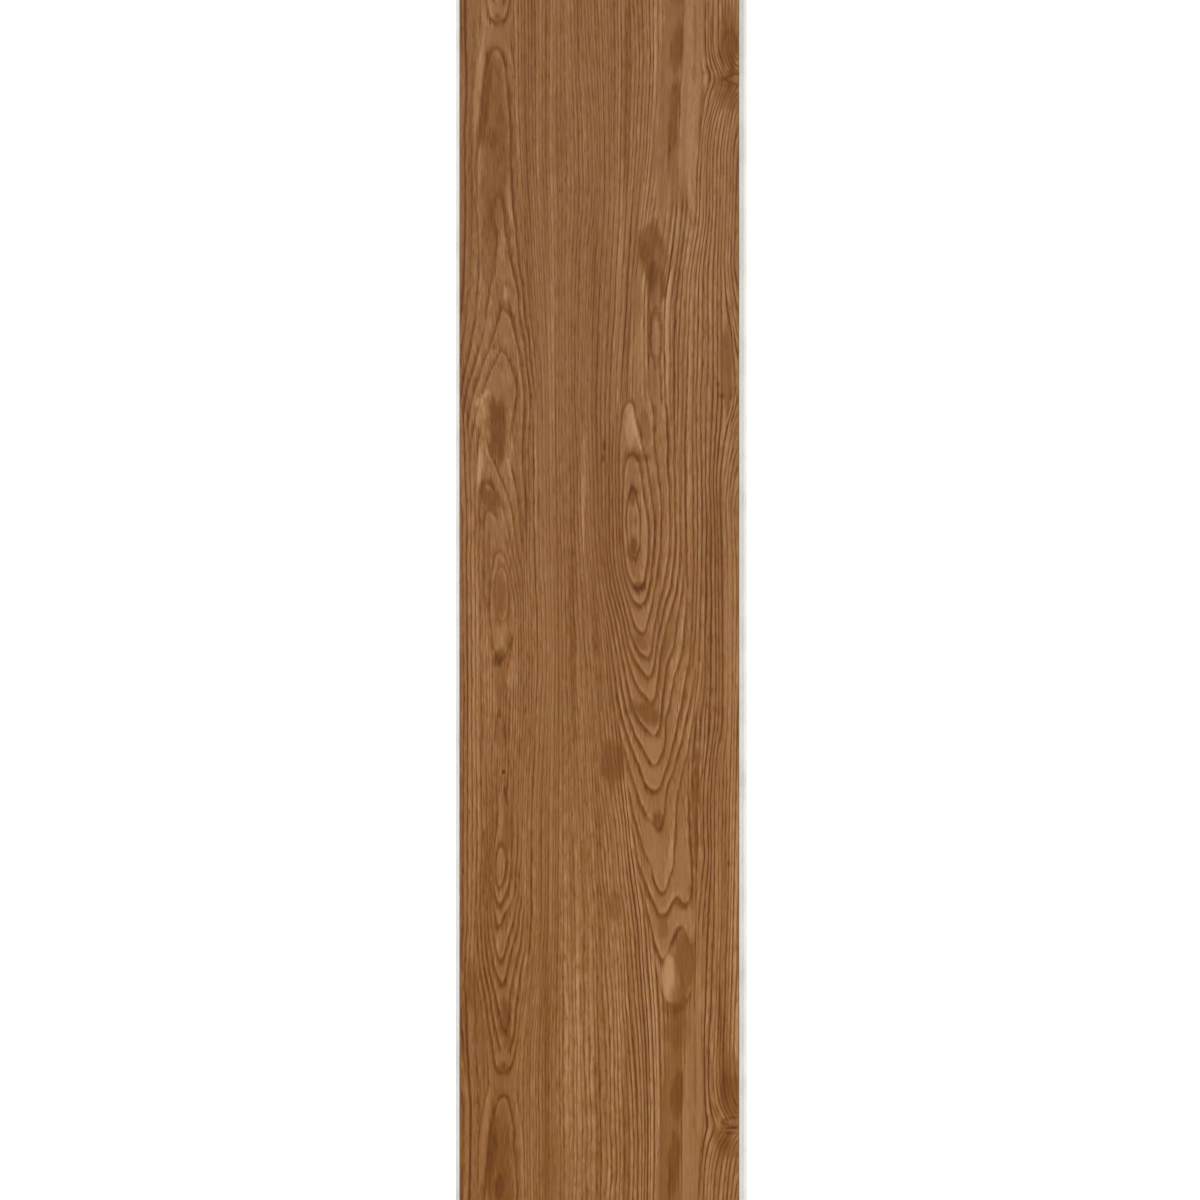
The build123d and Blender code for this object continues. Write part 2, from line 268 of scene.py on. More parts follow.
# How far each figure reaches: (along, from, to, share of the figure in the print)
right_reach = [
    (136, 22, 30, 0), (124, 12, 44, 1), (100, 5, 50, 1), (60, 2.5, 53, 1), (20, 2, 54, 1), (0, 4, 56, 1),
    (-50, 8, 60, 1), (-75, 11, 60, 1), (-100, 17, 58, 1), (-130, 20, 56, 1), (-150, 22, 58, 1),
    (-180, 26, 60, 1), (-203, 31, 62, 1), (-230, 36, 60, 1), (-255, 42, 58, 1), (-268, 48, 54, 0),
]
left_reach = [
    (386, -74, -56.5, 1), (368, -76, -56, 1), (355, -79, -55, 1), (300, -80.5, -54, 1),
    (250, -81, -51.5, 1), (200, -83, -47.5, 1), (165, -88, -42, 1), (130, -91, -41, 1), (110, -84, -46, 1),
    (80, -80.5, -48.5, 1), (50, -80, -48, 1), (20, -78, -49.5, 1), (0, -75, -52, 1), (-15, -71, -55, 1),
    (-40, -69, -57, 0.6), (-60, -68, -58, 0), (-115, -68, -57, 0), (-135, -70, -55, 1),
    (-150, -74, -51.5, 1), (-180, -77, -50, 1), (-210, -79.5, -46.5, 1), (-240, -79, -47, 1),
    (-270, -77, -49.5, 1), (-288, -73, -52, 1),
]

# Soft patches: (across, along, half width, half length, slope, tone, calm). Tone is lighter above nought and
# darker below it, and calm is how far the lines and fibres fade there.
patches = [
    # pale band and the grey ground beside it, with its dark streaks
    (60, 340, 7.2, 84, 0.035, 0.48, 0.9), (45, 335, 7.5, 92, 0.07, -0.2, 0.9),
    (39, 262, 4, 22, 0.02, 0, 0.9), (49.8, 355, 3.9, 15, 0.05, -0.5, 0.6),
    (52.8, 356, 0.8, 16, 0.03, -0.5, 0), (46.2, 352, 0.8, 7, 0, -0.4, 0),
    (48, 312, 3.8, 22, 0.05, -0.5, 0.6), (51.6, 324, 0.8, 9, 0, -0.5, 0),
    (44.8, 297, 0.9, 12, 0.06, -0.5, 0), (47.8, 330, 1.5, 4, 0, -0.3, 0),
    (44.8, 282, 0.9, 10, 0.05, -0.5, 0), (61.5, 372, 0.8, 26, 0, -0.4, 0), (61, 338, 1, 6, 0, -0.45, 0),
    # smudge where the long lines end, and the island below it
    (34, 224, 8, 23, 0.03, -0.6, 0.85), (36.5, 203, 6, 14, 0, -0.4, 0.7), (35.6, 243, 1.4, 5, 0, -0.4, 0),
    (38, 231, 3, 6, 0, -0.25, 0), (29, 223, 2.4, 6, 0, -0.4, 0), (44.8, 213, 1.5, 20, 0.19, -0.6, 0.3),
    (24, 193, 4.2, 16, 0, 0.05, 0.8), (36, 170, 5.4, 22, 0, 0, 0.9), (32.2, 172, 1.3, 15, 0, -0.5, 0),
    (25, 158, 4.6, 22, 0.04, 0.35, 0.7), (34, 140, 6, 12, 0, 0.05, 0.7), (44, 185, 3, 14, 0.1, 0.15, 0.3),
    (51, 274, 8.5, 25, 0.03, -0.03, 0.8), (53, 250, 0.9, 12, 0.13, -0.5, 0),
    (57.2, 250, 1, 11, -0.23, -0.5, 0), (54.8, 242, 1.2, 6, 0, 0.35, 0.2),
    # rings of the right figure
    (20, 113, 3.2, 13, -0.05, 0.75, 0.6), (24.6, 105, 1.3, 10, -0.28, 0.8, 0.6),
    (30, 112, 3.2, 12, -0.15, -0.35, 0.5), (26, 92, 6.5, 3, 0, -0.65, 0.3),
    (21.3, 67, 2.2, 7, 0, -0.8, 0.5), (22.3, 34, 3, 7, 0, -0.8, 0.6), (22, 50, 1.4, 9, 0, 0.45, 0.6),
    (28.6, 40, 1.6, 20, 0, 0.5, 0.5), (26, 8.5, 4.6, 3.4, 0, -0.9, 0.3), (31, -73, 8.5, 8, -0.8, -0.5, 0.7),
    (35, -94, 5, 7, 0, 0.45, 0.8), (35, -113, 5.5, 6, 0, 0.4, 0.8), (34, -57, 2.5, 7, 0, 0.4, 0.6),
    (26, -27, 4, 5, -0.6, -0.35, 0.6), (28.5, -10, 3, 5, 0, 0.25, 0.6), (37.5, -141, 3.6, 6, 0, -0.8, 0.3),
    (34.5, -160, 5.4, 18, -0.12, 0.4, 0.85), (53.5, -174, 5.6, 19, 0, 0.25, 0.8),
    (44.5, -168, 1.4, 18, 0.15, 0.5, 0.3), (58.6, -187, 1.6, 5, 0, -0.6, 0),
    (53, -196, 5.5, 3, 0, -0.5, 0.2), (41.5, -210, 3.2, 8, 0, -0.35, 0.7), (56, -205, 4, 7, 0, 0.25, 0.6),
    (48, -217, 2.4, 7, 0.4, -0.6, 0.2), (54.5, -232, 6.5, 20, 0, -0.5, 0.75),
    (44.8, -240, 3.8, 14, 0, 0.95, 1), (46, -263, 5, 5, 0, -0.5, 0.5), (54, -259, 3, 4, 0, -0.35, 0.3),
    (50, -277, 8, 14, 0.05, -0.3, 0.85), (45.6, -290, 5.2, 26, 0.02, -0.05, 0.85),
    (62.3, -130, 2.2, 36, 0.02, -0.5, 0.6), (61.5, -82, 1.2, 13, 0.05, -0.6, 0),
    (65, -80, 1, 11, 0.08, -0.6, 0), (45, -22, 3.6, 18, 0.25, -0.3, 0.4),
    # long grain
    (17.4, 326, 2.6, 66, 0.01, -0.4, 0.4), (8.5, -106, 7.5, 16, 0, -0.55, 0.75),
    (9.5, -196, 5, 9, 0, -0.45, 0.5), (3.2, 99, 1, 4, 0, -1.2, 0), (2.2, 91, 1, 3, 0, -1.1, 0),
    (-1.5, 150, 3.2, 100, -0.02, -0.25, 0), (-10.3, 62, 1.1, 42, 0.01, 0.7, 0),
    (-28, 300, 9, 26, 0, -0.1, 0.5), (-47.3, 62, 1.4, 28, 0, -0.55, 0), (-38.6, 62, 0.9, 8, 0, -0.7, 0),
    (69.6, 10, 2, 50, 0, -0.35, 0.3), (66.5, -65, 1.8, 30, 0.09, -0.35, 0.3),
    (84, 322, 6, 8, 0, -0.35, 0.7), (84, 362, 8, 20, 0, -0.35, 0.6), (84, -320, 7, 14, 0, -0.4, 0.6),
    (79, -346, 6, 7, 0, -0.3, 0.6), (82, 150, 3.6, 27, -0.02, -0.35, 0.85),
    (65.5, -236, 3, 26, 0.04, 0.25, 0.7), (68.8, 173, 1.4, 1, 0, -0.55, 0),
    (71.5, 174.5, 1.2, 1, 0, -0.4, 0), (76.2, 138, 1.2, 1.4, 0, -0.8, 0), (78.6, 131, 1.8, 1.2, 0, -0.7, 0),
    (83, -170, 1.5, 2.2, 0, -0.7, 0), (50, 20, 8, 90, 0, 0.25, 0), (-11, -80, 0.9, 40, 0, 0.4, 0),
    (85, -20, 4, 50, 0, 0.2, 0.3), (76.5, -262, 1.4, 36, -0.03, -0.45, 0),
    (79, -278, 1.5, 32, -0.03, -0.45, 0), (-20, 150, 8, 90, 0, 0.1, 0.2),
    # thick lines beside the pale band, which turn in to the edge knots
    (68.3, 366, 1.1, 22, 0, -0.5, 0), (70.2, 338, 1.8, 6, 0, -0.45, 0),
    (66.3, 318, 1.1, 12, 0.13, -0.55, 0), (64.8, 300, 1, 12, 0.05, -0.4, 0),
    (62.6, 272, 1, 16, 0.07, -0.4, 0), (72, 368, 0.9, 18, 0, -0.3, 0), (74.5, 345, 1, 7, -0.36, -0.45, 0),
    (84.5, 335, 8.5, 5.5, 0, -0.05, 0.95), (67.2, -302, 1, 24, 0, -0.5, 0),
    (68.6, -333, 1.6, 5, 0, -0.45, 0), (66, -350, 1.1, 10, 0.14, -0.55, 0),
    (64.2, -372, 1, 12, 0.05, -0.4, 0), (71.6, -312, 0.9, 20, 0, -0.4, 0), (74, -329, 1, 7, -0.36, -0.5, 0),
    (84.5, -337, 8, 5, 0, -0.05, 0.95), (-41.1, 30, 0.9, 100, 0, 0.3, 0), (-40.3, -30, 0.9, 34, 0, 0.3, 0),
    (-44.2, -150, 1, 52, 0, 0.4, 0), (-17.6, -80, 0.9, 70, 0, 0.25, 0),
    # rings of the left figure
    (-65.5, 380.5, 4, 3.8, 0, 0.35, 0.8), (-65.5, 373, 4.8, 2.8, 0, -0.75, 0.2),
    (-63, 365, 9, 6, 0, 0.1, 0.8), (-77.6, 330, 2.6, 30, 0.07, 0.5, 0.6),
    (-73.4, 322, 3.2, 30, 0.08, -0.6, 0.6), (-68, 290, 9, 66, 0, -0.35, 0.5),
    (-69, 297, 3.2, 7, 0, -0.4, 0), (-75.6, 255, 2, 30, 0, -0.2, 0.3),
    (-70.5, 226, 5.5, 30, 0.03, -0.3, 0.5), (-58, 254, 1.3, 13, -0.12, 0.7, 0.3),
    (-60.4, 197, 2, 5, 0, 0.8, 0.2), (-61.5, 175, 3.4, 9, 0, 0.1, 0.5), (-60, 164, 3.6, 6, 0, 0.35, 0.4),
    (-66.4, 159, 1.4, 4, 0.5, 0.6, 0.2), (-63.5, 138, 5, 12, 0, 0.2, 0.6),
    (-76.5, 129, 2.2, 6, 0.9, 0.7, 0.2), (-65, 112, 5.4, 22, 0, -0.75, 0.85),
    (-76.8, 120, 3.6, 9, 0, 0.6, 0.5), (-77, 86, 2, 13, 0.1, 0.9, 0.3), (-57.4, 97, 1.2, 14, 0, 0.7, 0.3),
    (-70.5, 66, 5.6, 7, -0.35, -0.6, 0.8), (-66, 44, 5, 8, -0.3, 0.15, 0.7),
    (-63.4, 0, 3.8, 15, 0, -0.45, 0.9), (-62.5, -22, 3.4, 10, 0.15, 0.35, 0.85),
    (-64.5, -37, 4, 6, 0.3, -0.95, 0.4), (-58, -27, 3, 6, 0, -0.4, 0), (-64, -56, 3.6, 17, 0, -0.4, 0.7),
    (-57.6, -52, 1.8, 16, 0.1, 0.55, 0.3), (-63.8, -86, 3.2, 15, 0, -0.15, 0.7),
    (-66.6, -82, 0.7, 9, 0.1, -0.8, 0), (-61, -84, 0.7, 11, -0.12, -0.8, 0),
    (-64, -73.5, 2.2, 2, 0, -0.8, 0), (-60, -147, 2.6, 22, 0, -0.3, 0.7),
    (-63.4, -171, 1.6, 8, 0, 0.2, 0.6), (-60.2, -125, 1, 6.5, -0.18, -0.9, 0),
    (-81.8, -247, 3, 16, -0.05, -0.4, 0.5), (-76, -285, 4.4, 15, 0, 0.05, 0.8),
    (-60.6, -268, 2.6, 10, 0, -0.6, 0.3), (-64.5, -219, 2.2, 7, 0.2, 0.5, 0.3),
    (-56, -193, 2.6, 7, 0.5, 0.35, 0.3), (-61, -313, 9, 5, 0, 0.1, 0.8), (-58.5, -284, 3, 5, 0, -0.3, 0.5),
    (-71.2, 15, 1.2, 34, 0, -0.3, 0), (-73.4, -2, 0.7, 6, 0, -0.8, 0),
]

# Small knots: (across, along, half width, half length, tone of the rim, tone of the heart)
knots = [
    (89.5, 335, 8, 3.4, -0.28, 0.03), (79.2, 335, 3.2, 2, -0.05, -0.2), (88, 335, 12.6, 4.6, -0.1, 0),
    (87.5, -335.5, 8, 2.8, -0.26, 0), (85.5, -339.4, 6.6, 1, 0, -0.5), (84.5, -342.5, 4.5, 1.6, 0, -0.25),
    (36.4, 168, 3.5, 17, -0.26, 0.1), (36.4, -506, 3.5, 17, -0.26, 0.1),
    (-61.7, -110.6, 1.4, 1.6, -0.12, -0.95), (-65.7, 563.4, 1.4, 1.6, -0.12, -0.95),
]

# How strong the long lines are at each count
strength_by_count = [
    (0, 0.95), (8, 0.95), (20, 0.9), (26, 0.75), (38, 0.7), (46, 0.9), (56, 1.1), (66, 1.25), (90, 1.3),
]

# Lines that stand out: (count, from, to along the plank, strength). Below nought the line is pale.
accents = [
    (5, 400, 290, 1), (5, -300, -400, 0.9), (7, 400, 180, 0.5), (20, 400, 250, 1.4), (21, 350, 120, -0.9),
    (60, 400, 262, 1), (69, 400, 240, 1), (48, 300, 120, -0.8), (54, 260, 120, 0.9), (65, 240, 150, 0.7),
    (20, -285, -400, 1.2), (21, -260, -400, -0.8), (41, 60, -60, 0.8), (71, 400, 330, 0.9),
    (75, 400, 340, 0.5), (77, -200, -400, 1), (78, -285, -335, 0.8), (80, -240, -300, 0.4),
]

# Bundles of strong lines: (first count, last count, from, to along the plank, strength)
bundles = [
    (38, 57, -60, -440, 1), (57, 70, 250, 90, 0.3), (64, 78, 100, -160, 0.15), (26, 38, 330, 420, -0.1),
    (30, 47, -220, -440, 0.35),
]


def clear_selection():
    """Leaves nothing selected, so that an operator acts only on what is chosen next."""
    if bpy.context.object and bpy.context.object.mode != "OBJECT":
        bpy.ops.object.mode_set(mode="OBJECT")
    bpy.ops.object.select_all(action="DESELECT")


def smooth(values, reach, axis):
    """Averages a grid's neighbours along one of its axes, twice over."""
    span = 2 * reach + 1
    for _ in range(2):
        ends = [np.repeat(np.take(values, [end], axis), reach, axis) for end in (0, -1)]
        longer = np.concatenate([ends[0], values, ends[1]], axis)
        count = values.shape[axis]
        values = sum(np.take(longer, range(step, step + count), axis) for step in range(span)) / span
    return values


def cloud(across, along, cell_across, cell_along, number):
    """Smooth random values from -1 to 1 over the face, from cells of the size given."""
    dice = np.random.default_rng(seed + number).uniform(-1, 1, (160, 64))
    column = across / cell_across + 32
    row = along / cell_along + 80
    left, low = np.floor(column).astype(int), np.floor(row).astype(int)
    ease_across, ease_along = column - left, row - low
    ease_across = ease_across ** 2 * (3 - 2 * ease_across)
    ease_along = ease_along ** 2 * (3 - 2 * ease_along)
    left, low = left % 63, low % 159
    near = dice[low, left] * (1 - ease_across) + dice[low, left + 1] * ease_across
    far = dice[low + 1, left] * (1 - ease_across) + dice[low + 1, left + 1] * ease_across
    return near * (1 - ease_along) + far * ease_along


def wrapped(along):
    """The same place in the print's first round."""
    return (along - first_row) % repeat + first_row


def between(along, start, end, soft):
    """1 between two places along the plank, falling to 0 at each over a soft length."""
    return np.clip((max(start, end) - along) / soft, 0, 1) * np.clip((along - min(start, end)) / soft, 0, 1)


def long_grain(across, along):
    """The count of long lines from the left edge, over a grid of places."""
    counts = list(long_lines)
    places = np.array([np.interp(along, *zip(*sorted(points.items()))) for points in long_lines.values()])
    places = smooth(places, 1, 1)
    rows = [np.interp(across, places[:, row], counts) for row in range(len(along))]
    return smooth(np.array(rows), 2, 1)


def doublings(line, columns, rows):
    """How often the count of long lines is doubled, so that they stay about as close as the print's own."""
    wanted = np.interp(columns, (-5, 25), (2.3, 2.9))
    broad = np.interp(wrapped(rows), (-250, -220, 110, 180), (1, 0.2, 0.2, 1))
    wanted = wanted + broad[:, None] * np.interp(columns, (-80, -72), (2.4, 0))
    closeness = np.hypot(np.gradient(line, columns, axis=1), np.gradient(line, rows, axis=0))
    return smooth(smooth(-np.log2(wanted * closeness.clip(0.05, 2)), 3, 1), 8, 0)


def line_strength(line, across, along):
    """How strong the long lines are at each place."""
    ink = np.interp(line, *zip(*strength_by_count)) * (1 + 0.35 * cloud(across, along, 3, 60, 5))
    for count, start, end, push in accents:
        ink += push * between(along, start, end, 12) * np.clip(1 - np.abs(line - count) / 0.6, 0, 1)
    for first, last, start, end, push in bundles:
        inside = np.clip(np.minimum(line - first, last - line) / 2, 0, 1)
        ink += push * between(along, start, end, 40) * inside
    return ink


def ring_count(figure, across, along, slope):
    """A smooth count of a figure's rings: a thin plate pinned at each place that a ring passes."""
    squeeze = 0.36
    bending = 4.0
    pins = np.array([
        (x + slope * (y - first_row), y + turn * repeat, count)
        for count, points in figure
        for x, y in points
        for turn in (-1, 0, 1)
        if first_row - 130 < y + turn * repeat < first_row + repeat + 130
    ])
    at_pins = pins[:, :2] * (1, squeeze)
    total = len(pins)

    def plate(gap):
        return gap ** 2 * np.log(gap + 1e-9)

    system = np.zeros((total + 3, total + 3))
    between_pins = np.linalg.norm(at_pins[:, None] - at_pins[None], axis=2)
    system[:total, :total] = plate(between_pins) + np.eye(total) * bending
    system[:total, total] = system[total, :total] = 1
    system[:total, total + 1:] = at_pins
    system[total + 1:, :total] = at_pins.T
    pull = np.linalg.solve(system, np.append(pins[:, 2], (0, 0, 0)))
    places = np.stack([across + slope * (along - first_row), wrapped(along) * squeeze], 1)
    counts = np.zeros(len(places))
    for start in range(0, len(places), 4000):
        part = places[start:start + 4000]
        gaps = np.linalg.norm(part[:, None] - at_pins[None], axis=2)
        counts[start:start + 4000] = plate(gaps) @ pull[:total] + pull[total] + part @ pull[total + 1:]
    return counts


def figure_share(reach, across, along, slope, soft):
    """How much of a figure shows: 1 inside its reach, and 0 outside."""
    rows, starts, ends, shares = np.array(sorted(reach)).T
    at = wrapped(along)
    place = across + slope * (along - at)
    start, end, share = (np.interp(at, rows, values) for values in (starts, ends, shares))
    inside = np.minimum(place - start, end - place) / soft + 0.5
    return np.clip(inside, 0, 1) * share


def patch_work(across, along):
    """The tone and the calm that the soft patches add. Those left of the middle lean with the left figure."""
    tone, calm = np.zeros(len(across)), np.zeros(len(across))
    ragged = cloud(across, along, 2.2, 9, 1) * 0.22 + cloud(across, along, 5, 26, 2) * 0.16
    for x, y, half_width, half_length, slope, depth, hush in patches:
        for turn in (-1, 0, 1):
            middle = y + turn * repeat
            side = x - (lean * turn * repeat if x < -40 else 0)
            near = np.abs(along - middle) < half_length * 1.6
            aside = (across[near] - side - slope * (along[near] - middle)) / half_width
            ahead = (along[near] - middle) / half_length
            gap = np.sqrt(aside ** 2 + ahead ** 2) + ragged[near]
            weight = np.clip((1.25 - gap) / 0.55, 0, 1)
            weight = weight ** 2 * (3 - 2 * weight)
            tone[near] += depth * weight
            calm[near] = np.maximum(calm[near], hush * weight)
    return tone, calm


def grain_fields(across, along):
    """All the fields that the printed face's materials read, at each of its places."""
    columns = np.linspace(across.min(), across.max(), strips_across * cells_across + 1)
    rows = np.linspace(along.min(), along.max(), strips_along * cells_along + 1)
    column = np.rint((across - columns[0]) / (columns[1] - columns[0])).astype(int)
    row = np.rint((along - rows[0]) / (rows[1] - rows[0])).astype(int)
    line = long_grain(columns, rows)
    doubling = doublings(line, columns, rows)[row, column]
    line = line[row, column]
    line += cloud(across, along, 9, 90, 3) * 0.2 + cloud(across, along, 5, 26, 4) * 0.12
    long_ink = line_strength(line, across, along)

    on_left = across < -15
    left_ring = ring_count(left_figure, across, along, lean)
    right_ring = ring_count(right_figure, across, along, 0)
    ring = np.where(on_left, left_ring, right_ring)
    ring += cloud(across, along, 5, 14, 6) * 0.07 + cloud(across, along, 2.4, 7, 7) * 0.04
    on_grid = np.zeros((len(rows), len(columns)))
    on_grid[row, column] = ring
    steep = np.hypot(np.gradient(on_grid, columns, axis=1), 2.2 * np.gradient(on_grid, rows, axis=0))
    share = figure_share(left_reach, across, along, lean, 4)
    share += figure_share(right_reach, across, along, 0, 5)
    fainter = np.interp(wrapped(along), (-90, -60, 30, 90), (0.8, 0.5, 0.55, 0.8))
    ring_ink = np.where(on_left, fainter, 1) * (1 + 0.35 * cloud(across, along, 4, 22, 8))
    ink = long_ink * (1 - share) + ring_ink * share

    tone, calm = patch_work(across, along)
    tone += np.interp(across, (-90, -78, -55, -45, 50, 62), (-0.45, 0, -0.15, 0, 0, 0.05))
    tone += cloud(across, along, 15, 300, 9) * 0.22
    streaks = cloud(across, along, 3.4, 200, 10) * 0.3 + cloud(across, along, 7.5, 260, 12) * 0.24
    tone += streaks * (1 - share)
    return {
        "long_line": line,
        "line_doubling": doubling,
        "figure_ring": ring,
        "ring_steep": steep[row, column].clip(0.04, 1),
        "figure_share": share,
        "line_ink": ink * (1 - calm),
        "tone": tone,
        "calm": calm,
    }


def printed_face_grid(board):
    """Divides the printed face into small cells, and leaves every other face as it is."""
    bpy.ops.object.mode_set(mode="EDIT")
    bpy.ops.mesh.select_mode(type="EDGE")
    for parts, direction in ((strips_across, 0), (cells_across, 0), (strips_along, 1), (cells_along, 1)):
        bpy.ops.mesh.select_all(action="DESELECT")
        mesh = bmesh.from_edit_mesh(board.data)
        for edge in mesh.edges:
            first, last = (corner.co for corner in edge.verts)
            run = last - first
            on_face = min(first.z, last.z) > face_level
            edge.select_set(on_face and abs(run[direction]) > 0.9 * run.length)
        bmesh.update_edit_mesh(board.data)
        bpy.ops.mesh.subdivide(number_cuts=parts - 1)
    bpy.ops.object.mode_set(mode="OBJECT")


def press_the_face(board):
    """Keeps the grain's fields in the board's mesh, and presses its relief into the printed face."""
    count = len(board.data.vertices)
    place = np.zeros(count * 3)
    board.data.vertices.foreach_get("co", place)
    place = place.reshape(-1, 3)
    face = place[:, 2] > face_level
    across, along = place[face, 0] / mm, place[face, 1] / mm
    fields = grain_fields(across, along)
    for name, values in fields.items():
        kept = np.zeros(count, np.float32)
        kept[face] = values
        board.data.attributes.new(name, "FLOAT", "POINT").data.foreach_set("value", kept)
    ring_wave = 0.5 + 0.5 * np.cos(2 * np.pi * (fields["figure_ring"] - 0.55))
    rise = (ring_wave - 1) * fields["figure_share"] * fields["line_ink"] * ring_relief
    rise -= (0.5 - 0.5 * cloud(across, along, 9, 70, 11)) * wave_relief
    edge_gap = np.minimum(np.abs(across).max() - np.abs(across), np.abs(along).max() - np.abs(along))
    place[face, 2] += rise * np.clip(edge_gap / 4, 0, 1)
    board.data.vertices.foreach_set("co", place.ravel())
    board.data.update()


def finish_number(middle, normal):
    """Which of the board's finishes a face has, by where it lies and which way it looks."""
    on_laid_face = abs(middle.x) < laid_half_width and abs(middle.y) < laid_half_length
    if normal.z > 0.95 and middle.z > top - 0.2 * mm:
        return 0
    if normal.z > 0.5 and middle.z > top - 0.7 * mm and on_laid_face:
        return 1
    if normal.z < -0.95 and middle.z < cad_box[0].z + 0.05 * mm:
        return 3
    return 2


def core_board():
    """The whole board as one piece: its solid's mesh in whole faces again, with a fine grid on the print."""
    clear_selection()
    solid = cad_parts["plank"]
    board = bpy.data.objects.new("plank_board", solid.data.copy())
    bpy.context.scene.collection.objects.link(board)
    bpy.context.view_layer.objects.active = board
    board.select_set(True)
    bpy.ops.object.mode_set(mode="EDIT")
    bpy.ops.mesh.select_all(action="SELECT")
    bpy.ops.mesh.remove_doubles(threshold=0.001 * mm)
    bpy.ops.mesh.dissolve_limited(angle_limit=math.radians(0.05))
    bpy.ops.object.mode_set(mode="OBJECT")
    printed_face_grid(board)
    press_the_face(board)
    board.data.materials.clear()
    for finish in (printed_oak(), bevel_paint(), stone_core(), backing()):
        board.data.materials.append(finish)
    for face in board.data.polygons:
        face.material_index = finish_number(face.center, face.normal)
    bpy.ops.object.shade_smooth_by_angle(angle=math.radians(25))
    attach(board, "root")
    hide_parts("plank")


def feed(node, inputs):
    """Gives a node its inputs. Each is a number, a colour or another node's output."""
    for name, value in dict(inputs).items():
        if isinstance(value, bpy.types.NodeSocket):
            node.id_data.links.new(value, node.inputs[name])
        else:
            node.inputs[name].default_value = value


def add(tree, kind, inputs=(), **settings):
    """Adds a node with its settings and inputs."""
    node = tree.nodes.new("ShaderNode" + kind)
    for name, value in settings.items():
        setattr(node, name, value)
    feed(node, inputs)
    return node


def maths(kind, *values):
    """One step of arithmetic on numbers and outputs, in the tree that the outputs are from."""
    tree = next(value.id_data for value in values if isinstance(value, bpy.types.NodeSocket))
    return add(tree, "Math", enumerate(values), operation=kind).outputs[0]


def plus(first, *others):
    """The sum of numbers and outputs."""
    total = first
    for value in others:
        total = maths("ADD", total, value)
    return total


def times(value, gain):
    """The product of two numbers or outputs."""
    return maths("MULTIPLY", value, gain)


def swing(value, gain):
    """Noise from 0 to 1 brought about nought, times a gain."""
    return times(maths("SUBTRACT", value, 0.5), gain)


def mix_of(share, first, second):
    """The first value where the share is 0, and the second where it is 1."""
    inputs = {"Factor": share, "A": first, "B": second}
    return add(share.id_data, "Mix", inputs, data_type="FLOAT").outputs[0]


def ramp_of(value, stops):
    """A colour ramp, from places and greys or colours."""
    node = add(value.id_data, "ValToRGB", {"Fac": value})
    for _ in stops[2:]:
        node.color_ramp.elements.new(0.5)
    for element, (place, colour) in zip(node.color_ramp.elements, stops):
        element.position = place
        grey = (colour, colour, colour) if isinstance(colour, (int, float)) else colour
        element.color = (*grey, 1)
    return node.outputs["Color"]


def inked(shade, colours, less=0):
    """A ramp in even steps through colours as a screen shows them, in 255ths. Each is made linear, and darker
    by what a layer over it adds."""
    stops = []
    for step, colour in enumerate(colours):
        parts = [((part / 255 + 0.055) / 1.055) ** 2.4 for part in colour]
        stops.append((step / (len(colours) - 1), [max(part - less, 0.002) for part in parts]))
    return ramp_of(shade, stops)


def bump_of(height, strength, depth):
    """Fine relief from a height. Its depth is in millimetres."""
    inputs = {"Strength": strength, "Distance": depth * mm, "Height": height}
    return add(height.id_data, "Bump", inputs).outputs["Normal"]


def stretched(across, along, steps_across, steps_along, shift):
    """Noise in long thin cells that follow the grain."""
    tree = across.id_data
    sides = {"X": times(across, steps_across), "Y": times(along, steps_along), "Z": shift}
    spot = add(tree, "CombineXYZ", sides).outputs[0]
    inputs = {"Vector": spot, "Scale": 1, "Detail": 1.5, "Roughness": 0.55}
    return add(tree, "TexNoise", inputs).outputs["Fac"]


def new_group(name, inputs, outputs):
    """An empty node group, its inputs and its outputs. An input whose value is None is a place."""
    group = bpy.data.node_groups.new(name, "ShaderNodeTree")
    for title, value in inputs.items():
        kind = "NodeSocketVector" if value is None else "NodeSocketFloat"
        socket = group.interface.new_socket(title, in_out="INPUT", socket_type=kind)
        if value is not None:
            socket.default_value = value
    for title in outputs:
        group.interface.new_socket(title, in_out="OUTPUT", socket_type="NodeSocketFloat")
    return group, group.nodes.new("NodeGroupInput").outputs, group.nodes.new("NodeGroupOutput").inputs


def place_group(tree, group, inputs):
    """Puts a group into a material with its own values."""
    return add(tree, "Group", inputs, node_tree=group).outputs


def frayed(group, given, shift):
    """A count with its fray: its phase, and random values that each whole count keeps."""
    count = plus(given["Count"], shift, swing(given["Fibre"], given["Ragged"]))
    whole = maths("FLOOR", count)
    own = add(group, "TexWhiteNoise", {"W": whole}, noise_dimensions="1D").outputs
    return maths("FRACT", count), own


